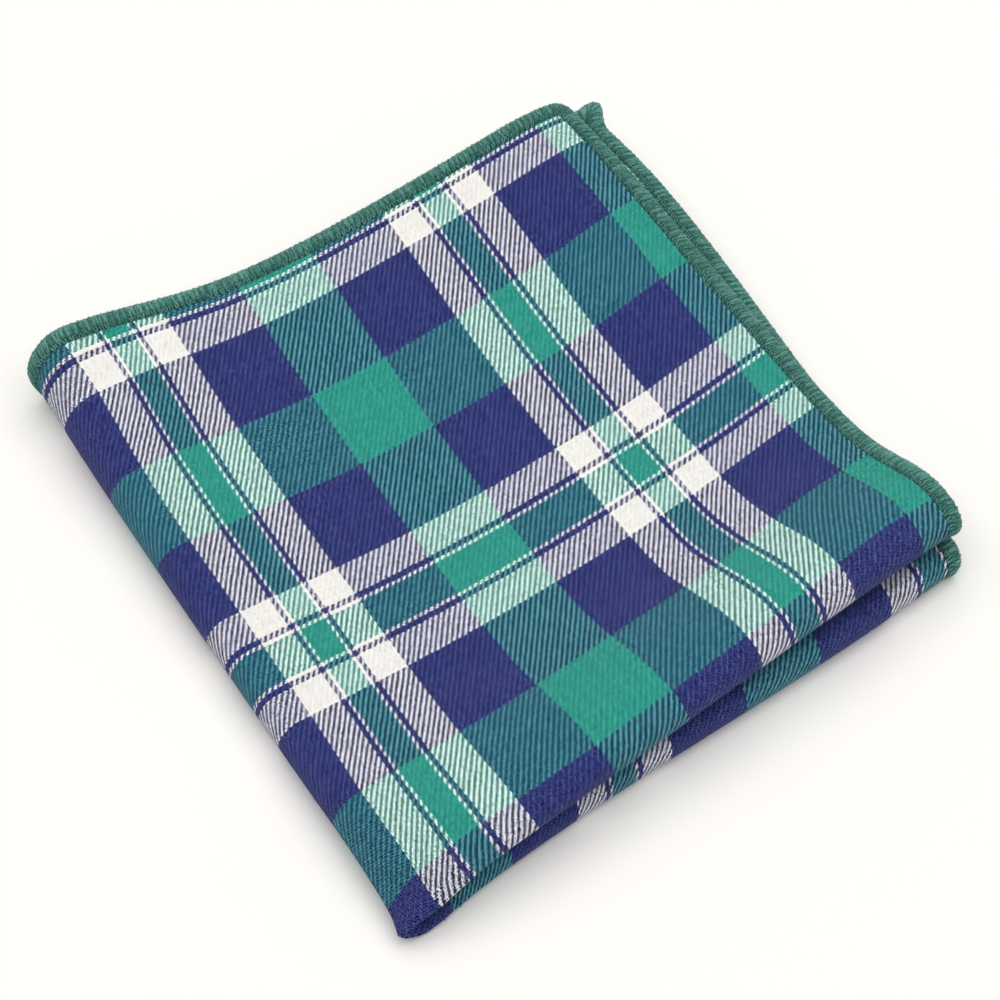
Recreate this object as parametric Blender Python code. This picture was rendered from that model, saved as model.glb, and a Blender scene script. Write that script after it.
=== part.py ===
"""A square cotton handkerchief, folded in half and in half again, lying on a table.

The cloth is one sheet. A point of it is named by u and v, its distances from the two fold
lines as it lies spread out. The first fold is the line v = 0, which becomes the front edge.
The second fold is the line u = 0, which becomes the left edge. From the top down the four
layers are u > 0 and v > 0, u > 0 and v < 0, u < 0 and v < 0, u < 0 and v > 0.
"""

from collections import namedtuple

import bpy
import numpy as np

# Lengths are in millimetres, and the mesh is made in metres
METRES = 0.001

# The cloth, spread out
CUT_SIDE = 230.0
CLOTH_THICKNESS = 1.0
HEM_THICKNESS = 1.4
HEM_WIDTH = 2.4
HEM_TAPER = 1.6
CORNER_RADIUS = 2.2

# The folded stack, where it lies flattest
FLAT_STACK = 4.6
HALF_SPACING = 0.75
LOFT_SHARE = 0.11
HEM_EXTRA_SPACING = 0.1
HEM_SPACING_REACH = 8.0
ROLL_CLEARANCE = 0.85
ROLL_REACH = 10.0
EDGE_SHOULDER = 6.0

# Grid lines from a fold to the hem, and how far they crowd towards both
STEPS = 21
CROWDING_U = 0.72
CROWDING_V = 0.84

# Four values that steer a smooth curve along an edge, from its start to its end
Line = namedtuple("Line", "start first second end")
# The same for the height of a puffed edge, and how far in from the edge it dies away
Puff = namedtuple("Puff", "start first second end reach")

PUFFS = {
    "left": Puff(1.5, 3.5, 0.5, 10.0, 26.0),
    "front": Puff(2.5, 9.0, 12.5, 10.0, 16.5),
    "back": Puff(-1.0, 4.5, 9.0, -1.0, 32.0),
    "right": Puff(-1.5, 0.5, 4.0, 3.0, 18.0),
}
TIP_DROP = 3.6
TIP_DROP_REACH = 10.0
BACK_RIGHT_LIFT = 7.5
BACK_RIGHT_REACH = 39.0

# How far each edge lies from a true square, seen from above
LINES = {
    "upper front": Line(-3.0, -0.9, 0.7, 4.1),
    "lower front": Line(-3.3, 2.1, -2.7, 1.7),
    "left": Line(0.3, 2.3, 2.5, 4.6),
    "right, outer layers": Line(-4.1, -1.1, -2.4, -3.1),
    "right, inner layers": Line(-3.5, -4.7, 5.8, 1.2),
    "back": Line(4.8, 0.1, -0.1, 0.2),
    "back, inner layers": Line(0.0, 0.0, 0.0, -1.8),
}
FRONT_LINE_REACH = 40.0
# How far the right ends of the two front rolls are drawn in
UPPER_ROLL_DRAW = 0.2
LOWER_ROLL_DRAW = 1.1
ROLL_END_REACH = 6.0
# Where the two folds cross, the corner is pinched and the rolls are tighter
TIP_PULL = (-0.7, 0.7, -0.3)
TIP_REACH = 3.0
TIP_TIGHTNESS = 0.25
TIP_SHARPNESS = 1.0
TIP_SHARP_REACH = 16.0
TIGHT_REACH = 28.0
# The second layer's back corner pokes out as a knob
KNOB_PULL = (3.6, 1.4, 0.6)
KNOB_REACH = 3.2

# Centre of the folded handkerchief, measured from where the two folds cross
CENTRE_X = 59.2
CENTRE_Y = 58.4

COLOUR = (0.03, 0.12, 0.20, 1.0)
ROUGHNESS = 0.9

HALF_SIDE = CUT_SIDE / 2


def clear_scene():
    for thing in list(bpy.data.objects):
        bpy.data.objects.remove(thing, do_unlink=True)


def along(part, line):
    """Height of a cubic curve steered by a line's four values, at a part from 0 to 1 of its length."""
    rest = 1 - part
    ends = line.start * rest**3 + line.end * part**3
    return ends + 3 * line.first * rest**2 * part + 3 * line.second * rest * part**2


def hump(distance, reach):
    """A smooth hump: 1 at no distance, about a third at its reach, then dying away."""
    return np.exp(-((distance / reach) ** 2))


def stack_height(x, y):
    """Distance from the middle of the bottom layer to the middle of the top one."""
    left, front, back, right = (PUFFS[edge] for edge in ("left", "front", "back", "right"))
    height = FLAT_STACK + along(y / HALF_SIDE, left) * hump(np.maximum(x - EDGE_SHOULDER, 0), left.reach)
    height += along(x / HALF_SIDE, front) * hump(np.maximum(y - EDGE_SHOULDER, 0), front.reach)
    height += along(x / HALF_SIDE, back) * hump(HALF_SIDE - y, back.reach)
    height += along(y / HALF_SIDE, right) * hump(HALF_SIDE - x, right.reach)
    height -= TIP_DROP * hump(np.hypot(x, y), TIP_DROP_REACH)
    corner = np.hypot(HALF_SIDE - x, HALF_SIDE - y)
    return height + BACK_RIGHT_LIFT * hump(corner, BACK_RIGHT_REACH)


def half_gap(x, y):
    """Half the distance between the two layers of a pair.

    In the front roll it is the roll's radius, where the upper roll rests on the lower one. Inside
    it is half the spacing of the flat stack, and takes its share of the height where that rises.
    """
    roll_radius = (stack_height(x, 0 * y) / 2 - ROLL_CLEARANCE) / 2
    roll_radius *= 1 - TIP_TIGHTNESS * hump(x, TIGHT_REACH)
    at_hems = hump(HALF_SIDE - x, HEM_SPACING_REACH) + hump(HALF_SIDE - y, HEM_SPACING_REACH)
    inside = HALF_SPACING + LOFT_SHARE * (stack_height(x, y) - FLAT_STACK)
    inside += HEM_EXTRA_SPACING * at_hems
    return inside + (roll_radius - inside) * hump(y, ROLL_REACH)


def rounded_corners(u, v):
    """Draws the square grid in at its corners, so that each becomes a quarter circle."""
    inner = HALF_SIDE - CORNER_RADIUS
    p = np.maximum(np.abs(u) - inner, 0) / CORNER_RADIUS
    q = np.maximum(np.abs(v) - inner, 0) / CORNER_RADIUS
    new_u = np.minimum(np.abs(u), inner) + CORNER_RADIUS * p * np.sqrt(1 - q**2 / 2)
    new_v = np.minimum(np.abs(v), inner) + CORNER_RADIUS * q * np.sqrt(1 - p**2 / 2)
    return np.sign(u) * new_u, np.sign(v) * new_v


def thickness_at(u, v):
    """The cloth's thickness, which grows to the hem's at the edge."""
    inside = HALF_SIDE - np.maximum(np.abs(u), np.abs(v))
    share = np.clip((HEM_WIDTH + HEM_TAPER - inside) / HEM_TAPER, 0, 1)
    return CLOTH_THICKNESS + (HEM_THICKNESS - CLOTH_THICKNESS) * share


def reach_round(angle, sharp):
    """How far a fold reaches out at an angle round it: as a half circle, or pointed where it is sharp."""
    return np.cos(angle) + sharp * (1 - np.abs(angle) - np.cos(angle))


def folded(u, v):
    """Place of the cloth's middle surface at u and v.

    Round the front fold the sheet turns half a circle of the roll's radius, through the angle
    phi. Round the left fold both layers of the pair turn together, through the angle psi.
    """
    x, y = np.abs(u), np.abs(v)
    zero = np.zeros_like(x)
    roll_radius = half_gap(x, zero)
    roll_length = np.pi / 2 * roll_radius
    phi = np.pi / 2 * np.clip(v / roll_length, -1, 1)
    left_height = stack_height(zero, y)
    left_gap = half_gap(zero, y)
    turn_radius = left_height / 2 - left_gap + left_gap * np.sin(phi)
    turn_length = np.pi / 2 * turn_radius
    psi = np.pi / 2 * np.clip(u / turn_length, -1, 1)
    upper = (1 + np.sin(psi)) / 2
    outer = (1 + np.sin(phi)) / 2

    front = upper * along(x / HALF_SIDE, LINES["upper front"])
    front += (1 - upper) * along(x / HALF_SIDE, LINES["lower front"])
    roll_y = front * hump(y, FRONT_LINE_REACH) + roll_radius
    turn_x = along(y / HALF_SIDE, LINES["left"]) + left_height / 2
    right = outer * along(y / HALF_SIDE, LINES["right, outer layers"])
    right += (1 - outer) * along(y / HALF_SIDE, LINES["right, inner layers"])
    right -= (LOWER_ROLL_DRAW + (UPPER_ROLL_DRAW - LOWER_ROLL_DRAW) * upper) * hump(y, ROLL_END_REACH)
    back = along(x / HALF_SIDE, LINES["back"])
    back += (1 - outer) * along(x / HALF_SIDE, LINES["back, inner layers"])

    stretch_x = (HALF_SIDE + right - turn_x) / (HALF_SIDE - turn_length)
    stretch_y = (HALF_SIDE + back - roll_y) / (HALF_SIDE - roll_length)
    sharp = TIP_SHARPNESS * hump(np.hypot(x, y), TIP_SHARP_REACH)
    place_x = turn_x - turn_radius * reach_round(psi, sharp) + np.maximum(x - turn_length, 0) * stretch_x
    place_y = roll_y - roll_radius * reach_round(phi, sharp) + np.maximum(y - roll_length, 0) * stretch_y

    height = stack_height(x, y)
    gap = half_gap(x, y)
    reach_from_middle = height / 2 - gap + gap * np.sin(phi)
    place_z = thickness_at(u, v) / 2 + height / 2 + reach_from_middle * np.sin(psi)
    place = np.stack([place_x - CENTRE_X, place_y - CENTRE_Y, place_z], axis=-1)
    tip = hump(x, TIP_REACH) * hump(y, TIP_REACH)
    knob = hump(HALF_SIDE - u, KNOB_REACH) * hump(HALF_SIDE + v, KNOB_REACH)
    return place + tip[..., None] * TIP_PULL + knob[..., None] * KNOB_PULL


def crowded(steps, crowding):
    """Distances from 0 to half the side, close together at both ends."""
    part = np.linspace(0, 1, steps + 1)
    return HALF_SIDE * (part - crowding * np.sin(2 * np.pi * part) / (2 * np.pi))


def both_ways(distances):
    return np.concatenate([-distances[:0:-1], distances])


def grid_faces(rows, columns):
    """Quads between the points of a grid, each listed so that its face points along u x v."""
    index = np.arange(rows * columns).reshape(rows, columns)
    corners = index[:-1, :-1], index[1:, :-1], index[1:, 1:], index[:-1, 1:]
    return np.stack(corners, axis=-1).reshape(-1, 4)


def cotton():
    material = bpy.data.materials.new("cotton")
    material.use_nodes = True
    shader = material.node_tree.nodes["Principled BSDF"]
    shader.inputs["Base Color"].default_value = COLOUR
    shader.inputs["Roughness"].default_value = ROUGHNESS
    shader.inputs["Metallic"].default_value = 0.0
    return material


def handkerchief():
    """The folded middle surface, thickened by Solidify, which is thicker along the hem."""
    u, v = np.meshgrid(
        both_ways(crowded(STEPS, CROWDING_U)), both_ways(crowded(STEPS, CROWDING_V)), indexing="ij"
    )
    shares = thickness_at(u, v).ravel() / HEM_THICKNESS
    points = folded(*rounded_corners(u, v)).reshape(-1, 3) * METRES
    mesh = bpy.data.meshes.new("handkerchief")
    mesh.from_pydata(points.tolist(), [], grid_faces(*u.shape).tolist())
    mesh.shade_smooth()
    mesh.materials.append(cotton())
    cloth = bpy.data.objects.new("handkerchief", mesh)
    bpy.context.scene.collection.objects.link(cloth)
    group = cloth.vertex_groups.new(name="thickness")
    for index, share in enumerate(shares):
        group.add([index], float(share), "REPLACE")
    solidify = cloth.modifiers.new("thickness", "SOLIDIFY")
    solidify.thickness = HEM_THICKNESS * METRES
    solidify.offset = 0.0
    solidify.vertex_group = group.name
    return cloth


clear_scene()
handkerchief()
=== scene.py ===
"""Looks of a handkerchief folded in quarters: brushed cotton twill in a check, overlocked all round.

The cloth is one sheet. A point of it is named by u and v, its distances in millimetres from the
two fold lines as it lies spread out. The line v = 0 is folded first and becomes the front edge.
The line u = 0 is folded next and becomes the left edge. The layer on top has u > 0 and v > 0.
Threads run round the sheet's edge and are named by s, the way round from the middle of the edge
v = 115, with their depth in from the edge and their lift off the cloth.
"""

from collections import namedtuple

import bpy
import numpy as np
from mathutils import Matrix, Vector


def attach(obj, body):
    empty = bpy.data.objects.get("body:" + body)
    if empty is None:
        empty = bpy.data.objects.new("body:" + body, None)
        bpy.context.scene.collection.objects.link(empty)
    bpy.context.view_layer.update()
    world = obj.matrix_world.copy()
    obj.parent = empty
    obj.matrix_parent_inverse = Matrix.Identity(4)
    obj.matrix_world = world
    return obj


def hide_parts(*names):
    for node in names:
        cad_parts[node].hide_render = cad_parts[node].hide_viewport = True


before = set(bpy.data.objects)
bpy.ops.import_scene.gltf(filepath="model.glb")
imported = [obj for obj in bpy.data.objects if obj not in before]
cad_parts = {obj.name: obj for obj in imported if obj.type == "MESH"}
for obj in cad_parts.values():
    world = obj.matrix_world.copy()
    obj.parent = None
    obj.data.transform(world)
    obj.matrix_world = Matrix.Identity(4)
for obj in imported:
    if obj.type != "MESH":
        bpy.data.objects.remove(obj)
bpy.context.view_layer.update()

METRES = 0.001

# The cloth spread out, and the heights and spacings of its folded stack, all as in the solid
CUT_SIDE = 230.0
HALF_SIDE = CUT_SIDE / 2
CORNER_RADIUS = 2.2
FLAT_STACK = 4.6
HALF_SPACING = 0.75
LOFT_SHARE = 0.11
HEM_EXTRA_SPACING = 0.1
HEM_SPACING_REACH = 8.0
ROLL_CLEARANCE = 0.85
ROLL_REACH = 10.0
EDGE_SHOULDER = 6.0
# How far the stack puffs up along each edge, steered by four values, and how far in that reaches
Line = namedtuple("Line", "start first second end")
Puff = namedtuple("Puff", "start first second end reach")
PUFFS = {
    "left": Puff(1.5, 3.5, 0.5, 10.0, 26.0),
    "front": Puff(2.5, 9.0, 12.5, 10.0, 16.5),
    "back": Puff(-1.0, 4.5, 9.0, -1.0, 32.0),
    "right": Puff(-1.5, 0.5, 4.0, 3.0, 18.0),
}
TIP_DROP = 3.6
TIP_DROP_REACH = 10.0
BACK_RIGHT_LIFT = 7.5
BACK_RIGHT_REACH = 39.0
# How far each edge lies off the straight line, steered by four values
LINES = {
    "upper front": Line(-3.0, -0.9, 0.7, 4.1),
    "lower front": Line(-3.3, 2.1, -2.7, 1.7),
    "left": Line(0.3, 2.3, 2.5, 4.6),
    "right, outer layers": Line(-4.1, -1.1, -2.4, -3.1),
    "right, inner layers": Line(-3.5, -4.7, 5.8, 1.2),
    "back": Line(4.8, 0.1, -0.1, 0.2),
    "back, inner layers": Line(0.0, 0.0, 0.0, -1.8),
}
FRONT_LINE_REACH = 40.0
UPPER_ROLL_DRAW = 0.2
LOWER_ROLL_DRAW = 1.1
ROLL_END_REACH = 6.0
# The tip, where both folds meet, is pulled out, tight and sharp
TIP_PULL = (-0.7, 0.7, -0.3)
TIP_REACH = 3.0
TIP_TIGHTNESS = 0.25
TIP_SHARPNESS = 1.0
TIP_SHARP_REACH = 16.0
TIGHT_REACH = 28.0
# The second layer's corner sticks out at the back right as a small knob
KNOB_PULL = (3.6, 1.4, 0.6)
KNOB_REACH = 3.2
# Middle of the folded cloth's box, from the crossing of the fold lines
CENTRE_X = 59.2
CENTRE_Y = 58.4

# Soft creases of the top layer: each along a line, a ridge where it rises and a trough where it sinks.
# The first deepens the trough behind the front right swell, and the others are guessed.
Crease = namedtuple("Crease", "from_u from_v to_u to_v rise width")
CREASES = [
    Crease(66.0, 24.0, 96.0, 41.0, -0.35, 5.0),
    Crease(38.0, 14.0, 62.0, 19.0, 0.25, 4.0),
    Crease(97.0, 60.0, 105.0, 84.0, 0.25, 4.0),
    Crease(14.0, 70.0, 29.0, 97.0, -0.25, 4.5),
]

# The real cloth is thinner than the solid and stops inside its edge thread
CLOTH_THICKNESS = 0.6
CLOTH_INSET = 0.5
# Height below which the table presses the thread and the hairs flat
PRESS_HEIGHT = 0.3
SHEET_STEPS = 109
CROWDING_U = 0.72
CROWDING_V = 0.84

# Yarns to a millimetre, and the check as runs of yarns in one colour
YARNS_U = 3.62
YARNS_V = 1 / 0.335
Run = namedtuple("Run", "colour yarns")
CHECK_U = [
    Run("white", 21), Run("navy", 3), Run("white", 2), Run("green", 17), Run("white", 2),
    Run("navy", 3), Run("white", 21), Run("navy", 54), Run("green", 54), Run("navy", 54),
]
CHECK_V = [
    Run("white", 17), Run("navy", 3), Run("white", 2), Run("green", 20), Run("white", 2),
    Run("navy", 3), Run("white", 17), Run("navy", 46), Run("green", 46), Run("navy", 46),
]
CHECK_START_U = 32
CHECK_START_V = 108
TWILL_REPEAT = 4
TWILL_FLOAT = 2
# Where the check has slid in the folding: at the tip, near the front right corner and at the back left one
Slide = namedtuple("Slide", "u v reach along_u along_v")
SLIDES = [
    Slide(0.0, 0.0, 22.0, -2.8, 0.0),
    Slide(100.0, 18.0, 16.0, 0.6, 2.1),
    Slide(9.0, 104.0, 14.0, 1.2, -0.8),
]
# How far the yarns wander and their surface frays, in yarns, and how fast each of them changes
WANDER = 0.25
WANDER_SCALE = 0.11
FRAY = 0.6
FRAY_SCALE = 1.0
# How much lighter or darker, on screen: painted shade over a yarn's round and in the gaps between floats,
# painted light and shade along the twill's diagonals, and tone from yarn to yarn and over the nap
PAINTED_RELIEF_SHADE = 0.62
PALE_PAINTED_SHADE = 0.3
MEAN_HEIGHT = 1.0
PAINTED_DIAGONAL_LIGHT_AND_SHADE = 0.11
PAINTED_GAP_SHADE = 0.18
YARN_VARIATION = 0.05
NAP_VARIATION = 0.14
# How the two yarns' colours mix, and how round and arched the yarns are
HUE_MIXING = 0.8
FLOAT_CONTRAST = 1.25
PALE_WEIGHT = 0.12
YARN_ARCH = 0.3
DARK_RISE = 0.15
CLOTH_BUMP = 0.09

# Edge thread: a raised cord of stitches along the edge
CORD_WIDTH = 3.5
CORD_OUTSIDE = 0.35
CORD_LIFT = 0.66
CORD_SLOPE = 0.24
CORD_STEPS = 900
CORD_SIDES = 12
STITCH_LENGTH = 1.1
WRAPS_PER_STITCH = 3
WRAP_RADIUS = 0.21
WRAP_UNEVENNESS = 0.25
WRAP_SLANT = 0.6
WRAP_GATHER = 0.75
LOOP_RADIUS = 0.13
LOOP_START = 2.0
LOOP_REACH = 2.85
LOOP_HALF_WIDTH = 0.3
LOOP_BULGE = 0.35
LOOP_LEAN = 0.15
WRAP_END = np.radians(114)
WRAP_END_SPREAD = np.radians(15)
STRAND_SIDES = 4
STRAND_POINTS = 9
STITCH_JITTER = 0.12
WRAP_JITTER = 0.05
SLANT_SPREAD = 0.18
# The thread's shades on screen: painted shade on the cord's inner side, in the gaps between wraps and loops;
# tone by strand and by fuzz; and painted shade over its twist
CORD_INNER_PAINTED_SHADE = -0.4
STRAND_SHADE = 0.22
STRAND_DARKENING = 0.13
FUZZ_SHADE = 0.42
PAINTED_TWIST_SHADE = 0.02
TWISTS_PER_MM = 2.2
THREAD_BUMP = 0.05

# Loose fibres of the brushed cotton
FIBRES = 28000
THREAD_FIBRES = 9000
FIBRE_POINTS = 4
FIBRE_WIDTH = 0.027
FIBRE_LENGTH = 1.7
FIBRE_RISE = 0.42
THREAD_FIBRE_LENGTH = 1.0
THREAD_FIBRE_RISE = 0.4
# Shares of the hairs drawn in along each fold, and how much nearer they lie
LEFT_FOLD_SHARE = 0.12
LEFT_FOLD_NEARNESS = 0.1
FRONT_FOLD_SHARE = 0.18
FRONT_FOLD_NEARNESS = 0.06

# Camera, found from the photograph's edges and check: degrees and millimetres
CAMERA_AZIMUTH = -34.7
CAMERA_ELEVATION = 53.5
CAMERA_DISTANCE = 401.5
CAMERA_RIGHT = 0.8
CAMERA_UP = -0.5
CAMERA_LENS = 86.4
CAMERA_SENSOR = 36.0

# Studio: metres and watts
TABLE_HALF = 3.0
TABLE_COLOURS = (0.97, 0.955, 0.935, 1.0), (0.95, 0.935, 0.915, 1.0)
ROOM_COLOUR = (1.0, 0.985, 0.96, 1.0)
ROOM_STRENGTH = 0.38
OVERHEAD_PLACE = (0.05, 0.0, 1.2)
OVERHEAD_SIZE = 2.0
OVERHEAD_POWER = 19.4
OVERHEAD_COLOUR = (1.0, 0.99, 0.97)

RANDOM = np.random.default_rng(5)


def along(part, line):
    """Height of a cubic curve steered by a line's four values, at a part from 0 to 1 of its length."""
    rest = 1 - part
    ends = line.start * rest**3 + line.end * part**3
    return ends + 3 * line.first * rest**2 * part + 3 * line.second * rest * part**2


def hump(distance, reach):
    """A smooth hump: 1 at no distance, about a third at its reach, then dying away."""
    return np.exp(-((distance / reach) ** 2))


def stack_height(x, y):
    """Distance from the middle of the bottom layer to the middle of the top one: flat, and puffed along
    each edge and at the back right corner."""
    left, front, back, right = (PUFFS[edge] for edge in ("left", "front", "back", "right"))
    height = FLAT_STACK + along(y / HALF_SIDE, left) * hump(np.maximum(x - EDGE_SHOULDER, 0), left.reach)
    height += along(x / HALF_SIDE, front) * hump(np.maximum(y - EDGE_SHOULDER, 0), front.reach)
    height += along(x / HALF_SIDE, back) * hump(HALF_SIDE - y, back.reach)
    height += along(y / HALF_SIDE, right) * hump(HALF_SIDE - x, right.reach)
    height -= TIP_DROP * hump(np.hypot(x, y), TIP_DROP_REACH)
    corner = np.hypot(HALF_SIDE - x, HALF_SIDE - y)
    return height + BACK_RIGHT_LIFT * hump(corner, BACK_RIGHT_REACH)


def half_gap(x, y):
    """Half the distance between the two layers of a pair: the roll's radius at the front fold, and half
    the spacing of the stack away from it."""
    roll_radius = (stack_height(x, 0 * y) / 2 - ROLL_CLEARANCE) / 2
    roll_radius *= 1 - TIP_TIGHTNESS * hump(x, TIGHT_REACH)
    at_hems = hump(HALF_SIDE - x, HEM_SPACING_REACH) + hump(HALF_SIDE - y, HEM_SPACING_REACH)
    inside = HALF_SPACING + LOFT_SHARE * (stack_height(x, y) - FLAT_STACK)
    inside += HEM_EXTRA_SPACING * at_hems
    return inside + (roll_radius - inside) * hump(y, ROLL_REACH)


def reach_round(angle, sharp):
    """How far a fold reaches out at an angle round it: as a half circle, or pointed where it is sharp."""
    return np.cos(angle) + sharp * (1 - np.abs(angle) - np.cos(angle))


def creased(u, v):
    """How far the soft creases rise: each is a hump of the distance from its line, so it dies away past its
    ends too."""
    rise = np.zeros_like(u)
    for crease in CREASES:
        way_u, way_v = crease.to_u - crease.from_u, crease.to_v - crease.from_v
        part = ((u - crease.from_u) * way_u + (v - crease.from_v) * way_v) / (way_u**2 + way_v**2)
        part = np.clip(part, 0, 1)
        distance = np.hypot(u - crease.from_u - part * way_u, v - crease.from_v - part * way_v)
        rise += crease.rise * hump(distance, crease.width)
    return rise


def folded(u, v):
    """Place of the cloth's middle surface, in millimetres, from the middle of the folded cloth.

    Round the front fold the sheet turns half a circle of the roll's radius, through the angle
    phi. Round the left fold both layers of the pair turn together, through the angle psi.
    """
    x, y = np.abs(u), np.abs(v)
    zero = np.zeros_like(x)
    roll_radius = half_gap(x, zero)
    roll_length = np.pi / 2 * roll_radius
    phi = np.pi / 2 * np.clip(v / roll_length, -1, 1)
    left_height = stack_height(zero, y)
    left_gap = half_gap(zero, y)
    turn_radius = left_height / 2 - left_gap + left_gap * np.sin(phi)
    turn_length = np.pi / 2 * turn_radius
    psi = np.pi / 2 * np.clip(u / turn_length, -1, 1)
    upper = (1 + np.sin(psi)) / 2
    outer = (1 + np.sin(phi)) / 2

    front = upper * along(x / HALF_SIDE, LINES["upper front"])
    front += (1 - upper) * along(x / HALF_SIDE, LINES["lower front"])
    roll_y = front * hump(y, FRONT_LINE_REACH) + roll_radius
    turn_x = along(y / HALF_SIDE, LINES["left"]) + left_height / 2
    right = outer * along(y / HALF_SIDE, LINES["right, outer layers"])
    right += (1 - outer) * along(y / HALF_SIDE, LINES["right, inner layers"])
    right -= (LOWER_ROLL_DRAW + (UPPER_ROLL_DRAW - LOWER_ROLL_DRAW) * upper) * hump(y, ROLL_END_REACH)
    back = along(x / HALF_SIDE, LINES["back"])
    back += (1 - outer) * along(x / HALF_SIDE, LINES["back, inner layers"])

    stretch_x = (HALF_SIDE + right - turn_x) / (HALF_SIDE - turn_length)
    stretch_y = (HALF_SIDE + back - roll_y) / (HALF_SIDE - roll_length)
    sharp = TIP_SHARPNESS * hump(np.hypot(x, y), TIP_SHARP_REACH)
    place_x = turn_x - turn_radius * reach_round(psi, sharp) + np.maximum(x - turn_length, 0) * stretch_x
    place_y = roll_y - roll_radius * reach_round(phi, sharp) + np.maximum(y - roll_length, 0) * stretch_y

    height = stack_height(x, y)
    gap = half_gap(x, y)
    reach_from_middle = height / 2 - gap + gap * np.sin(phi)
    place_z = CLOTH_THICKNESS / 2 + height / 2 + reach_from_middle * np.sin(psi) + creased(u, v)
    place = np.stack([place_x - CENTRE_X, place_y - CENTRE_Y, place_z], axis=-1)
    tip = hump(x, TIP_REACH) * hump(y, TIP_REACH)
    knob = hump(HALF_SIDE - u, KNOB_REACH) * hump(HALF_SIDE + v, KNOB_REACH)
    return place + tip[..., None] * TIP_PULL + knob[..., None] * KNOB_PULL


def normals(u, v):
    """Unit normals of the folded sheet, from the directions in which it runs along u and along v."""
    step = 0.02
    along_u = folded(u + step, v) - folded(u - step, v)
    along_v = folded(u, v + step) - folded(u, v - step)
    across = np.cross(along_u, along_v)
    return across / np.linalg.norm(across, axis=-1, keepdims=True)


def on_sheet(u, v, lift):
    """Place at a lift off the middle surface, along its normal. Near the table heights are squeezed together
    by a falling exponential, so that nothing goes below it."""
    place = folded(u, v) + normals(u, v) * lift[..., None]
    height = place[..., 2]
    pressed = PRESS_HEIGHT * np.exp(np.minimum(height / PRESS_HEIGHT - 1, 0))
    place[..., 2] = np.where(height < PRESS_HEIGHT, pressed, height)
    return place


def rounded_corners(u, v, half_side):
    """Draws the square grid in at its corners, so that each becomes a quarter circle."""
    inner = half_side - CORNER_RADIUS
    p = np.maximum(np.abs(u) - inner, 0) / CORNER_RADIUS
    q = np.maximum(np.abs(v) - inner, 0) / CORNER_RADIUS
    new_u = np.minimum(np.abs(u), inner) + CORNER_RADIUS * p * np.sqrt(1 - q**2 / 2)
    new_v = np.minimum(np.abs(v), inner) + CORNER_RADIUS * q * np.sqrt(1 - p**2 / 2)
    return np.sign(u) * new_u, np.sign(v) * new_v


def chart_place(u, v):
    """Where the woven check has drifted to, as the yarns of a washed cloth do: smooth waves that are
    nothing at the folds, and each slide as a smooth hump on top of them."""
    s, t = np.abs(u) / HALF_SIDE, np.abs(v) / HALF_SIDE
    bow_s, bow_t = 4 * s * (1 - s), 4 * t * (1 - t)
    drift_u = bow_s * (-1.3 - 1.2 * bow_t + 2.6 * (t - 0.5) + 1.9 * (s - 0.5))
    drift_v = bow_t * (0.1 - 0.9 * bow_s + 4.4 * (s - 0.5) - 1.6 * (t - 0.5)) + 0.7 * s * t**4
    chart_u, chart_v = u - np.sign(u) * drift_u, v - np.sign(v) * drift_v
    for slide in SLIDES:
        share = hump(np.hypot(u - slide.u, v - slide.v), slide.reach)
        chart_u = chart_u - slide.along_u * share
        chart_v = chart_v - slide.along_v * share
    return chart_u, chart_v


def crowded(steps, crowding, half_side):
    """Distances from a fold to the edge, close together at both ends, then the same on both sides of it."""
    part = np.linspace(0, 1, steps + 1)
    distances = half_side * (part - crowding * np.sin(2 * np.pi * part) / (2 * np.pi))
    return np.concatenate([-distances[:0:-1], distances])


def grid_faces(rows, columns):
    """Quads between the points of a grid."""
    index = np.arange(rows * columns).reshape(rows, columns)
    corners = index[:-1, :-1], index[1:, :-1], index[1:, 1:], index[:-1, 1:]
    return np.stack(corners, axis=-1).reshape(-1, 4)


def new_piece(name, points, faces, material):
    """A smooth mesh from points in millimetres, riding on the cloth's body."""
    mesh = bpy.data.meshes.new(name)
    mesh.from_pydata((points.reshape(-1, 3) * METRES).tolist(), [], faces)
    mesh.shade_smooth()
    mesh.materials.append(material)
    piece = bpy.data.objects.new(name, mesh)
    bpy.context.scene.collection.objects.link(piece)
    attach(piece, "root")
    return piece


def set_uv(piece, name, u, v):
    """A UV map from values for each vertex."""
    mesh = piece.data
    corner_vertex = np.zeros(len(mesh.loops), np.int32)
    mesh.loops.foreach_get("vertex_index", corner_vertex)
    values = np.stack([u.ravel(), v.ravel()], axis=-1)[corner_vertex]
    mesh.uv_layers.new(name=name).data.foreach_set("uv", values.ravel().astype(np.float32))


def set_attribute(piece, name, values):
    """A number for each vertex."""
    layer = piece.data.attributes.new(name, "FLOAT", "POINT")
    layer.data.foreach_set("value", values.ravel().astype(np.float32))


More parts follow.
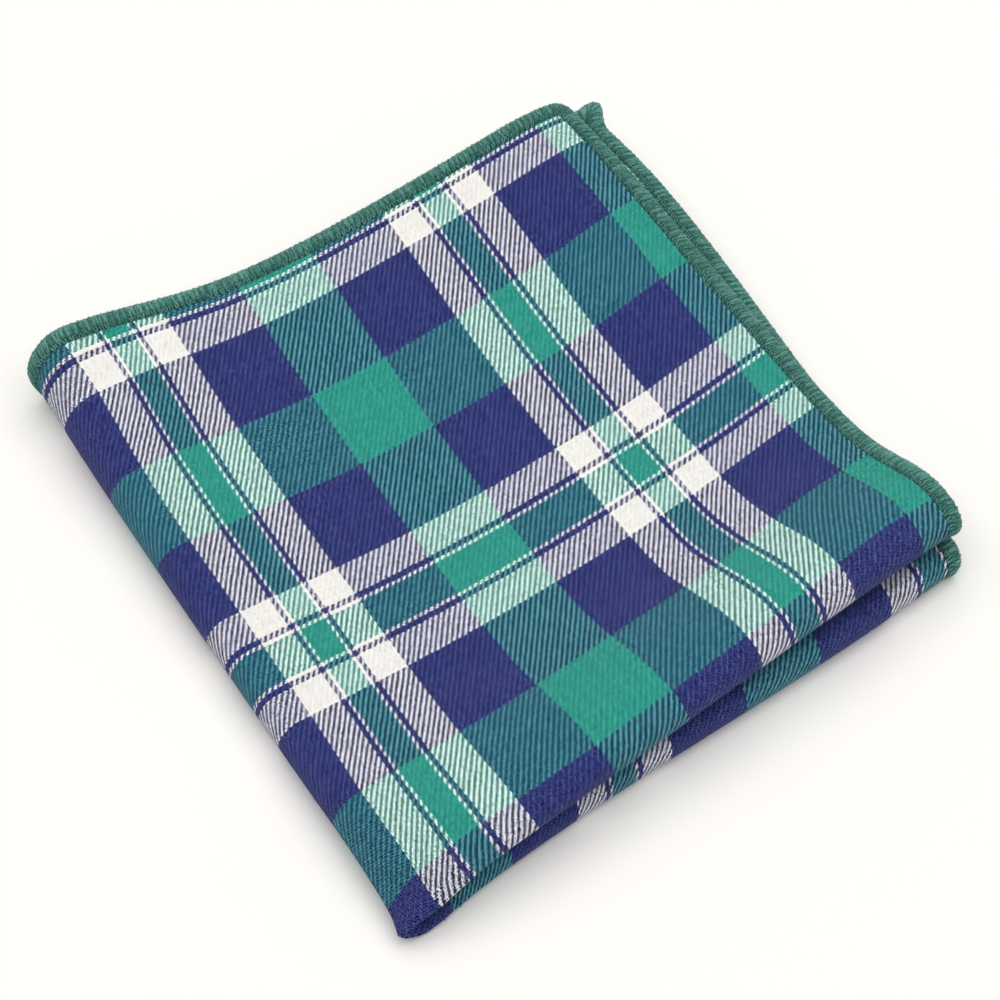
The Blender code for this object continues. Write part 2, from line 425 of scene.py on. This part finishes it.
class Finish:
    """A material whose pattern is built by joining nodes."""

    def __init__(self, name):
        self.material = bpy.data.materials.new(name)
        self.material.use_nodes = True
        self.nodes = self.material.node_tree.nodes
        self.links = self.material.node_tree.links
        self.shader = self.nodes["Principled BSDF"]

    def feed(self, socket, value):
        if isinstance(value, bpy.types.NodeSocket):
            self.links.new(value, socket)
        else:
            socket.default_value = value

    def math(self, operation, *values):
        node = self.nodes.new("ShaderNodeMath")
        node.operation = operation
        for socket, value in zip(node.inputs, values):
            self.feed(socket, value)
        return node.outputs[0]

    def scaled(self, value, factor, shift=0.0):
        return self.math("MULTIPLY_ADD", value, factor, shift)

    def mix(self, factor, first, second):
        node = self.nodes.new("ShaderNodeMix")
        node.data_type = "RGBA"
        for name, value in (("Factor_Float", factor), ("A_Color", first), ("B_Color", second)):
            self.feed(next(s for s in node.inputs if s.identifier == name), value)
        return next(s for s in node.outputs if s.identifier == "Result_Color")

    def lightened(self, colour, amount):
        """The same amount added to red, green and blue, with none of them left below a fiftieth."""
        grey = self.nodes.new("ShaderNodeCombineXYZ")
        for socket in grey.inputs:
            self.feed(socket, amount)
        total = self.nodes.new("ShaderNodeVectorMath")
        total.operation = "ADD"
        self.feed(total.inputs[0], colour)
        self.feed(total.inputs[1], grey.outputs[0])
        held = self.nodes.new("ShaderNodeVectorMath")
        held.operation = "MAXIMUM"
        self.feed(held.inputs[0], total.outputs[0])
        held.inputs[1].default_value = (DARKEST, DARKEST, DARKEST)
        return held.outputs[0]

    def on_screen(self, colour):
        """Light values from a colour as it shows on screen."""
        node = self.nodes.new("ShaderNodeGamma")
        node.inputs["Gamma"].default_value = 2.2
        self.feed(node.inputs["Color"], colour)
        return node.outputs[0]

    def brightness(self, colour):
        node = self.nodes.new("ShaderNodeRGBToBW")
        self.feed(node.inputs[0], colour)
        return node.outputs[0]

    def pair(self, first, second):
        node = self.nodes.new("ShaderNodeCombineXYZ")
        self.feed(node.inputs[0], first)
        self.feed(node.inputs[1], second)
        return node.outputs[0]

    def noise(self, place, scale, detail=2.0, dimensions="2D"):
        node = self.nodes.new("ShaderNodeTexNoise")
        node.noise_dimensions = dimensions
        self.feed(node.inputs["Vector"], place)
        node.inputs["Scale"].default_value = scale
        node.inputs["Detail"].default_value = detail
        return node.outputs[0]

    def chance(self, number):
        """A random value from 0 to 1 for each whole number."""
        node = self.nodes.new("ShaderNodeTexWhiteNoise")
        node.noise_dimensions = "1D"
        self.feed(node.inputs["W"], number)
        return node.outputs[0]

    def uv(self, name):
        node = self.nodes.new("ShaderNodeUVMap")
        node.uv_map = name
        split = self.nodes.new("ShaderNodeSeparateXYZ")
        self.links.new(node.outputs[0], split.inputs[0])
        return split.outputs[0], split.outputs[1]

    def attribute(self, name):
        node = self.nodes.new("ShaderNodeAttribute")
        node.attribute_name = name
        return node.outputs["Fac"]

    def runs(self, yarn, check, start):
        """Colour of a yarn, from runs of yarns that repeat from a starting yarn: past the end of each run the
        next one's colour takes over."""
        repeat = sum(run.yarns for run in check)
        from_start = self.math("FLOORED_MODULO", self.math("ADD", yarn, 0.5 - start), float(repeat))
        colour = (*YARN_COLOURS[check[0].colour], 1.0)
        count = 0
        for run, following in zip(check, check[1:]):
            count += run.yarns
            past = self.math("GREATER_THAN", from_start, float(count))
            colour = self.mix(past, colour, (*YARN_COLOURS[following.colour], 1.0))
        return colour

    def bump(self, height, distance):
        node = self.nodes.new("ShaderNodeBump")
        node.inputs["Distance"].default_value = distance * METRES
        node.inputs["Strength"].default_value = 1.0
        self.feed(node.inputs["Height"], height)
        self.feed(self.shader.inputs["Normal"], node.outputs[0])

    def surface(self, colour, roughness, sheen, sheen_roughness, specular):
        self.feed(self.shader.inputs["Base Color"], colour)
        self.feed(self.shader.inputs["Roughness"], roughness)
        self.shader.inputs["Sheen Weight"].default_value = sheen
        self.shader.inputs["Sheen Roughness"].default_value = sheen_roughness
        self.shader.inputs["Specular IOR Level"].default_value = specular
        return self.material


def screen(red, green, blue):
    """The 0 to 255 values of a colour on screen, as parts of one."""
    return red / 255, green / 255, blue / 255


YARN_COLOURS = {
    "navy": screen(53, 61, 123),
    "green": screen(54, 160, 145),
    "white": screen(255, 253, 250),
}
THREAD_COLOUR = screen(84, 140, 131)
PALE_HAZE = screen(140, 150, 185)
HAZE_SHARE = 0.28
DARKEST = 0.02
# Roughness, sheen, its roughness and how much the surface mirrors
Surface = namedtuple("Surface", "roughness sheen sheen_roughness specular")
COTTON_SURFACE = Surface(0.92, 0.08, 0.45, 0.1)
THREAD_SURFACE = Surface(0.8, 0.15, 0.4, 0.2)
FLUFF_SURFACE = Surface(0.9, 0.1, 0.5, 0.1)
TABLE_SURFACE = Surface(0.9, 0.0, 0.5, 0.1)


def check_cloth(finish):
    """The twill: on each small square the yarn on top is the one along v where the two yarns' numbers
    differ by 0 or 1 within a repeat of four, and the one along u elsewhere: each yarn is round across and
    arches over two others and under two, and the higher of the two shows. The brushed nap mixes the
    hues of the two, so a square has mostly the mean colour of both, at the brightness of the one on
    top. Dark yarns ride a little over pale ones. Gives the colour on screen and the height."""
    yarn_u, yarn_v = finish.uv("yarns")
    place = finish.pair(yarn_u, yarn_v)

    def strayed(yarn, other):
        """A yarn's place with its slow wandering and the fraying of its brushed surface."""
        at = finish.pair(yarn, other)
        slow = finish.scaled(finish.noise(at, WANDER_SCALE), 2 * WANDER, -WANDER)
        quick = finish.scaled(finish.noise(at, FRAY_SCALE, 1.0), 2 * FRAY, -FRAY)
        return finish.math("ADD", yarn, finish.math("ADD", slow, quick))

    yarn_u, yarn_v = strayed(yarn_u, yarn_v), strayed(yarn_v, yarn_u)
    number_u = finish.math("FLOOR", yarn_u)
    number_v = finish.math("FLOOR", yarn_v)

    def crown(number, other, yarn, shift):
        """Height of one yarn: half a wave across it, and a wave along it, up over two others and down."""
        across = finish.math("SINE", finish.scaled(finish.math("SUBTRACT", yarn, number), np.pi))
        way = finish.math("ADD", finish.math("SUBTRACT", number, other), shift)
        way = finish.math("FLOORED_MODULO", way, float(TWILL_REPEAT))
        arch = finish.math("SINE", finish.scaled(way, np.pi / TWILL_FLOAT))
        return finish.math("ADD", finish.math("POWER", across, 0.8), finish.scaled(arch, YARN_ARCH))

    crown_u = crown(number_u, yarn_v, yarn_u, 1.0)
    crown_v = crown(number_v, yarn_u, yarn_v, 0.0)
    colour_u = finish.runs(number_u, CHECK_U, CHECK_START_U)
    colour_v = finish.runs(number_v, CHECK_V, CHECK_START_V)
    paler_v = finish.math("SUBTRACT", finish.brightness(colour_v), finish.brightness(colour_u))
    crown_u = finish.math("ADD", crown_u, finish.scaled(finish.math("POWER", paler_v, 3.0), DARK_RISE))
    on_top = finish.math("GREATER_THAN", crown_u, crown_v)
    height = finish.math("MAXIMUM", crown_u, crown_v)
    own = finish.mix(on_top, colour_v, colour_u)
    both = finish.mix(finish.scaled(paler_v, PALE_WEIGHT, 0.5), colour_u, colour_v)
    difference = finish.math("SUBTRACT", finish.brightness(own), finish.brightness(both))
    # Painted shade: a square where a pale and a dark yarn cross is darkened, standing for the shade in the
    # gaps between floats
    painted_gap_shade = finish.scaled(finish.math("MULTIPLY", paler_v, paler_v), -PAINTED_GAP_SHADE)
    lighter = finish.math("ADD", finish.scaled(difference, FLOAT_CONTRAST), painted_gap_shade)
    colour = finish.mix(HUE_MIXING, own, finish.lightened(both, lighter))
    return place, number_u, number_v, on_top, colour, height


def cotton():
    """Brushed cotton: the woven check, with painted shade darker between yarns and painted light and shade
    along the twill's diagonals, uneven from yarn to yarn, with a soft nap.
    """
    finish = Finish("cotton")
    place, number_u, number_v, on_top, colour, height = check_cloth(finish)
    own_u = finish.math("MULTIPLY", finish.chance(number_u), on_top)
    own_v = finish.math("MULTIPLY", finish.chance(number_v), finish.math("SUBTRACT", 1.0, on_top))
    uneven = finish.scaled(finish.math("ADD", own_u, own_v), YARN_VARIATION, -YARN_VARIATION / 2)
    patchy = finish.scaled(finish.noise(place, 0.7, 4.0), NAP_VARIATION, -NAP_VARIATION / 2)
    # Painted shade, darker where the yarns dip, and painted light and shade along the twill's diagonals; less
    # of both on pale colours
    painted_light_and_shade = finish.math("ADD", finish.scaled(height, PAINTED_RELIEF_SHADE, -MEAN_HEIGHT * PAINTED_RELIEF_SHADE),
                         # Painted light on the floats along u and painted shade on those along v, so the
                         # twill's diagonals show
                         finish.scaled(on_top, PAINTED_DIAGONAL_LIGHT_AND_SHADE, -PAINTED_DIAGONAL_LIGHT_AND_SHADE / 2))
    painted_light_and_shade = finish.math("MULTIPLY", painted_light_and_shade, finish.scaled(finish.brightness(colour), PALE_PAINTED_SHADE - 1, 1.0))
    lighter = finish.math("ADD", painted_light_and_shade, finish.math("ADD", uneven, patchy))
    nap = finish.scaled(finish.noise(place, 2.0, 3.0), 0.4)
    finish.bump(finish.math("ADD", height, nap), CLOTH_BUMP)
    return finish.surface(finish.on_screen(finish.lightened(colour, lighter)), *COTTON_SURFACE)


def thread():
    """Soft spun polyester: plies that twist round each strand, with painted shade over the twist, uneven from
    strand to strand, and with painted shade on the cord's inner side.
    """
    finish = Finish("thread")
    length, turn = finish.uv("strand")
    turns = finish.math("ADD", finish.scaled(length, TWISTS_PER_MM), turn)
    twist = finish.math("SINE", finish.scaled(turns, 2 * np.pi))
    fuzz = finish.noise(finish.pair(length, turn), 2.5, 3.0)
    # Strand tone from the shade attribute, which on the cord's inner side is painted shade; fuzz tone; and
    # painted shade over the twist
    lighter = finish.math("ADD", finish.scaled(finish.attribute("shade"), STRAND_SHADE, -STRAND_DARKENING),
                          finish.math("ADD", finish.scaled(fuzz, FUZZ_SHADE, -FUZZ_SHADE / 2),
                                      finish.scaled(twist, PAINTED_TWIST_SHADE)))
    finish.bump(finish.math("ADD", twist, fuzz), THREAD_BUMP)
    return finish.surface(finish.on_screen(finish.lightened(THREAD_COLOUR, lighter)), *THREAD_SURFACE)


def cloth_sheet(material):
    """The folded sheet: a grid over u and v on the folded surface, thickened by Solidify."""
    half_side = HALF_SIDE - CLOTH_INSET
    steps_u = crowded(SHEET_STEPS, CROWDING_U, half_side)
    steps_v = crowded(SHEET_STEPS, CROWDING_V, half_side)
    u, v = np.meshgrid(steps_u, steps_v, indexing="ij")
    u, v = rounded_corners(u, v, half_side)
    piece = new_piece("cloth", folded(u, v), grid_faces(*u.shape).tolist(), material)
    chart_u, chart_v = chart_place(u, v)
    set_uv(piece, "yarns", chart_u * YARNS_U, chart_v * YARNS_V)
    solidify = piece.modifiers.new("thickness", "SOLIDIFY")
    solidify.thickness = CLOTH_THICKNESS * METRES
    solidify.offset = 0.0
    return piece


SIDE_LENGTH = CUT_SIDE - 2 * CORNER_RADIUS
CORNER_LENGTH = np.pi / 2 * CORNER_RADIUS
ROUND_LENGTH = 4 * (SIDE_LENGTH + CORNER_LENGTH)


def round_edge(s, depth):
    """u and v at a way s round the edge and a depth in from it: four straight sides and four quarter
    circles, each a quarter turn on from the last. Deeper than the circles' radius it is a smaller square."""
    quarter = SIDE_LENGTH + CORNER_LENGTH
    side = np.floor(s / quarter)
    way = s - side * quarter
    angle = np.maximum(way - SIDE_LENGTH, 0) / CORNER_RADIUS
    reach = np.maximum(CORNER_RADIUS - depth, 0)
    deeper = np.maximum(depth - CORNER_RADIUS, 0)
    straight = (np.minimum(way, SIDE_LENGTH) - SIDE_LENGTH / 2) * (1 - 2 * deeper / SIDE_LENGTH)
    p = straight + reach * np.sin(angle)
    q = SIDE_LENGTH / 2 - deeper + reach * np.cos(angle)
    turn = -np.pi / 2 * side
    return p * np.cos(turn) - q * np.sin(turn), p * np.sin(turn) + q * np.cos(turn)


def on_edge(s, depth, lift):
    """Place of a point of the edge thread."""
    u, v = round_edge(s, depth)
    return on_sheet(u, v, lift)


def cord_profile(angle):
    """Depth and lift of the cord's surface: half a wave wide, higher towards the cloth's edge than inside."""
    across = (1 - np.cos(angle)) / 2
    lift = (CORD_LIFT - CORD_SLOPE * across) * np.sign(np.sin(angle)) * np.abs(np.sin(angle)) ** 0.7
    return CORD_WIDTH * across - CORD_OUTSIDE, lift


def edge_cord(material):
    """The body of the stitches: the cord's profile carried round the edge."""
    s = np.linspace(0, ROUND_LENGTH, CORD_STEPS, endpoint=False)
    angle = np.linspace(0, 2 * np.pi, CORD_SIDES, endpoint=False)
    s, angle = np.meshgrid(s, angle, indexing="ij")
    depth, lift = cord_profile(angle)
    index = np.arange(s.size).reshape(s.shape)
    index = np.concatenate([index, index[:1]])
    index = np.concatenate([index, index[:, :1]], axis=1)
    faces = np.stack([index[:-1, :-1], index[:-1, 1:], index[1:, 1:], index[1:, :-1]], axis=-1)
    piece = new_piece("edge_cord", on_edge(s, depth, lift), faces.reshape(-1, 4).tolist(), material)
    set_uv(piece, "strand", s, angle)
    # The cord's inner side is darker: painted shade in the gaps between the wraps and the needle loops
    set_attribute(piece, "shade", np.where(depth < LOOP_START, 0.0, CORD_INNER_PAINTED_SHADE))
    return piece


def strands(name, s, depth, lift, radius, material):
    """Threads as tubes: each row of s, depth and lift is one thread's centre line. A ring of points stands
    round each centre, in the plane of the way round and of the centre line's own normal."""
    along_depth, along_lift = np.gradient(depth, axis=1), np.gradient(lift, axis=1)
    size = np.hypot(along_depth, along_lift) + 1e-9
    out_depth, out_lift = -along_lift / size, along_depth / size
    turn = np.linspace(0, 2 * np.pi, STRAND_SIDES, endpoint=False)
    across, out = np.cos(turn) * radius[..., None], np.sin(turn) * radius[..., None]
    ring_s = s[..., None] + across
    ring_depth = depth[..., None] + out * out_depth[..., None]
    ring_lift = lift[..., None] + out * out_lift[..., None]
    count, rings = s.shape
    index = np.arange(count * rings * STRAND_SIDES).reshape(count, rings, STRAND_SIDES)
    wrapped = np.concatenate([index, index[..., :1]], axis=-1)
    quads = [wrapped[:, :-1, :-1], wrapped[:, :-1, 1:], wrapped[:, 1:, 1:], wrapped[:, 1:, :-1]]
    faces = np.stack(quads, axis=-1).reshape(-1, 4).tolist()
    faces += index[:, 0, ::-1].tolist() + index[:, -1].tolist()
    points = on_edge(ring_s, ring_depth, ring_lift)
    piece = new_piece(name, points, faces, material)
    length = np.cumsum(np.hypot(np.gradient(depth, axis=1), np.gradient(lift, axis=1)), axis=1)
    length = length + RANDOM.uniform(0, 9, (count, 1))
    round_each = np.broadcast_to(turn / (2 * np.pi), ring_s.shape)
    set_uv(piece, "strand", np.repeat(length[..., None], STRAND_SIDES, axis=-1), round_each)
    shade = np.repeat(RANDOM.uniform(0.3, 1.0, (count, 1)), rings * STRAND_SIDES, axis=1)
    set_attribute(piece, "shade", shade)
    return piece


def edge_wraps(material):
    """Thread wrapped over the cord, from its inner side round the cloth's edge and back underneath, at a
    slant. The wraps of a stitch gather towards the needle's hole at both ends."""
    stitches = int(ROUND_LENGTH / STITCH_LENGTH)
    pitch = ROUND_LENGTH / stitches
    count = stitches * WRAPS_PER_STITCH
    stitch, wrap = np.divmod(np.arange(count), WRAPS_PER_STITCH)
    strayed = RANDOM.uniform(-STITCH_JITTER, STITCH_JITTER, stitches)
    middle = (stitch + np.repeat(strayed, WRAPS_PER_STITCH)) * pitch
    aside = ((wrap + 0.5) / WRAPS_PER_STITCH - 0.5 + RANDOM.uniform(-WRAP_JITTER, WRAP_JITTER, count)) * pitch
    part = np.linspace(-1, 1, STRAND_POINTS)
    end = WRAP_END + WRAP_END_SPREAD * RANDOM.uniform(-1, 1, (count, 1))
    depth, lift = cord_profile(-end * part)
    slant = WRAP_SLANT + RANDOM.uniform(-SLANT_SPREAD, SLANT_SPREAD, (count, 1))
    s = middle[:, None] + aside[:, None] * (1 - WRAP_GATHER * part**2) + slant * part
    s = np.mod(s, ROUND_LENGTH)
    thick = 1 + WRAP_UNEVENNESS * np.cos(2 * np.pi * np.arange(count) / WRAPS_PER_STITCH)
    radius = WRAP_RADIUS * thick[:, None] * RANDOM.uniform(0.8, 1.2, (count, 1))
    radius = radius * (1 - 0.35 * np.abs(part) ** 6)
    return strands("edge_wraps", s, depth, lift, radius, material)


def needle_loops(material, name, face):
    """Small loops that reach from the cord over the cloth, one to a stitch."""
    count = int(ROUND_LENGTH / STITCH_LENGTH)
    strayed = RANDOM.uniform(-STITCH_JITTER, STITCH_JITTER, count)
    start = (np.arange(count) + 0.25 + strayed) * ROUND_LENGTH / count
    part = np.linspace(-1, 1, STRAND_POINTS)
    reach = LOOP_REACH - LOOP_START + RANDOM.uniform(-0.2, 0.2, (count, 1))
    depth = LOOP_START + reach * (1 - part**2)
    lift = face * (CLOTH_THICKNESS / 2 + 0.1 + 0.16 * part**2) + 0 * depth
    aside = LOOP_HALF_WIDTH * part * (1 + LOOP_BULGE * (1 - part**2)) + LOOP_LEAN * (1 - part**2)
    s = np.mod(start[:, None] + aside, ROUND_LENGTH)
    radius = LOOP_RADIUS * np.ones_like(s)
    return strands(name, s, depth, lift, radius, material)


def fluff():
    """Loose fibres take the colour of the cloth at their root, a little paler."""
    finish = Finish("fluff")
    colour = check_cloth(finish)[4]
    paler = finish.mix(HAZE_SHARE, colour, (*PALE_HAZE, 1.0))
    return finish.surface(finish.on_screen(paler), *FLUFF_SURFACE)


def hairs(name, root_u, root_v, base, longest, tallest, material):
    """Fine hairs: each leaves its root, bends over and lies nearly along the cloth, as a narrow ribbon."""
    count = len(root_u)
    heading = RANDOM.uniform(0, 2 * np.pi, count)[:, None]
    bend = RANDOM.uniform(-1.6, 1.6, count)[:, None]
    length = longest * RANDOM.uniform(0.3, 1.0, count)[:, None]
    rise = tallest * RANDOM.uniform(0.1, 1.0, count)[:, None] ** 1.3
    part = np.linspace(0, 1, FIBRE_POINTS)[None, :]
    way = heading + bend * part
    u = root_u[:, None] + length * part * np.cos(way)
    v = root_v[:, None] + length * part * np.sin(way)
    lift = np.reshape(base, (-1, 1)) + rise * np.sin(2.2 * part)
    half_width = FIBRE_WIDTH / 2 * (1 - 0.6 * part)
    side = np.stack([np.ones_like(part), -np.ones_like(part)], axis=-1) * half_width[..., None]
    ribbon_u = u[..., None] - side * np.sin(way)[..., None]
    ribbon_v = v[..., None] + side * np.cos(way)[..., None]
    points = on_sheet(ribbon_u, ribbon_v, np.repeat(lift[..., None], 2, axis=-1))
    index = np.arange(count * FIBRE_POINTS * 2).reshape(count, FIBRE_POINTS, 2)
    quads = [index[:, :-1, 0], index[:, 1:, 0], index[:, 1:, 1], index[:, :-1, 1]]
    faces = np.stack(quads, axis=-1).reshape(-1, 4).tolist()
    return new_piece(name, points, faces, material)


def all_along(values):
    """One value for each hair, given to every point of it."""
    return np.repeat(values, FIBRE_POINTS * 2)


def cloth_fibres(material):
    """Hairs of the nap, closer together along both folds."""
    inside = HALF_SIDE - CORD_WIDTH
    root_u = RANDOM.uniform(-1, 1, FIBRES)
    at_left = RANDOM.uniform(0, 1, FIBRES) < LEFT_FOLD_SHARE
    root_u = np.where(at_left, LEFT_FOLD_NEARNESS * root_u, root_u) * inside
    root_v = RANDOM.uniform(-1, 1, FIBRES)
    at_front = RANDOM.uniform(0, 1, FIBRES) < FRONT_FOLD_SHARE
    root_v = np.where(at_front, FRONT_FOLD_NEARNESS * root_v, root_v) * inside
    piece = hairs(
        "cloth_fibres", root_u, root_v, CLOTH_THICKNESS / 2, FIBRE_LENGTH, FIBRE_RISE, material
    )
    chart_u, chart_v = chart_place(root_u, root_v)
    set_uv(piece, "yarns", all_along(chart_u * YARNS_U), all_along(chart_v * YARNS_V))
    return piece


def thread_fibres(material):
    """Hairs of the edge thread, all over the cord."""
    angle = RANDOM.uniform(-0.7, 0.7, THREAD_FIBRES) * np.pi
    depth, lift = cord_profile(angle)
    root_u, root_v = round_edge(RANDOM.uniform(0, ROUND_LENGTH, THREAD_FIBRES), depth)
    piece = hairs(
        "thread_fibres", root_u, root_v, lift, THREAD_FIBRE_LENGTH, THREAD_FIBRE_RISE, material
    )
    set_uv(piece, "strand", all_along(angle), all_along(depth))
    set_attribute(piece, "shade", all_along(RANDOM.uniform(0.2, 1.4, THREAD_FIBRES)))
    return piece


def camera():
    """A camera looking from an azimuth and an elevation at the middle of the folded cloth."""
    azimuth, elevation = np.radians(CAMERA_AZIMUTH), np.radians(CAMERA_ELEVATION)
    level = np.cos(elevation)
    back = Vector((np.sin(azimuth) * level, -np.cos(azimuth) * level, np.sin(elevation)))
    right = Vector((0, 0, 1)).cross(back).normalized()
    up = back.cross(right)
    target = Vector((HALF_SIDE / 2 - CENTRE_X, HALF_SIDE / 2 - CENTRE_Y, 0))
    place = target + back * CAMERA_DISTANCE + right * CAMERA_RIGHT + up * CAMERA_UP
    data = bpy.data.cameras.new("camera")
    data.lens = CAMERA_LENS
    data.sensor_width = CAMERA_SENSOR
    data.clip_start = 0.01
    view = bpy.data.objects.new("camera", data)
    view.matrix_world = Matrix((
        (right.x, up.x, back.x, place.x * METRES),
        (right.y, up.y, back.y, place.y * METRES),
        (right.z, up.z, back.z, place.z * METRES),
        (0, 0, 0, 1),
    ))
    bpy.context.scene.collection.objects.link(view)
    bpy.context.scene.camera = view


def area_light(name, place, size, power):
    """A square soft light that faces the cloth."""
    data = bpy.data.lights.new(name, "AREA")
    data.size = size
    data.energy = power
    data.color = OVERHEAD_COLOUR
    lamp = bpy.data.objects.new(name, data)
    lamp.location = place
    lamp.rotation_euler = Vector(place).to_track_quat("Z", "Y").to_euler()
    bpy.context.scene.collection.objects.link(lamp)


def studio():
    """A pale table top, faint light from all round, and one very large soft light overhead."""
    finish = Finish("table top")
    node = finish.nodes.new("ShaderNodeTexCoord")
    faint = finish.noise(node.outputs["Object"], 3.0, 2.0, "3D")
    finish.surface(finish.mix(faint, *TABLE_COLOURS), *TABLE_SURFACE)
    mesh = bpy.data.meshes.new("table_top")
    half = TABLE_HALF
    corners = [(-half, -half, 0), (half, -half, 0), (half, half, 0), (-half, half, 0)]
    mesh.from_pydata(corners, [], [(0, 1, 2, 3)])
    mesh.materials.append(finish.material)
    table = bpy.data.objects.new("table_top", mesh)
    bpy.context.scene.collection.objects.link(table)
    world = bpy.data.worlds.new("studio")
    world.use_nodes = True
    world.node_tree.nodes["Background"].inputs["Color"].default_value = ROOM_COLOUR
    world.node_tree.nodes["Background"].inputs["Strength"].default_value = ROOM_STRENGTH
    bpy.context.scene.world = world
    area_light("overhead", OVERHEAD_PLACE, OVERHEAD_SIZE, OVERHEAD_POWER)
    bpy.context.scene.view_settings.view_transform = "Standard"


weave = cotton()
green_thread = thread()
cloth = cloth_sheet(weave)
stitching = [
    edge_cord(green_thread),
    edge_wraps(green_thread),
    needle_loops(green_thread, "needle_loops_face", 1),
    needle_loops(green_thread, "needle_loops_back", -1),
    thread_fibres(green_thread),
]
fibres = cloth_fibres(fluff())
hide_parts("handkerchief")

studio()
camera()
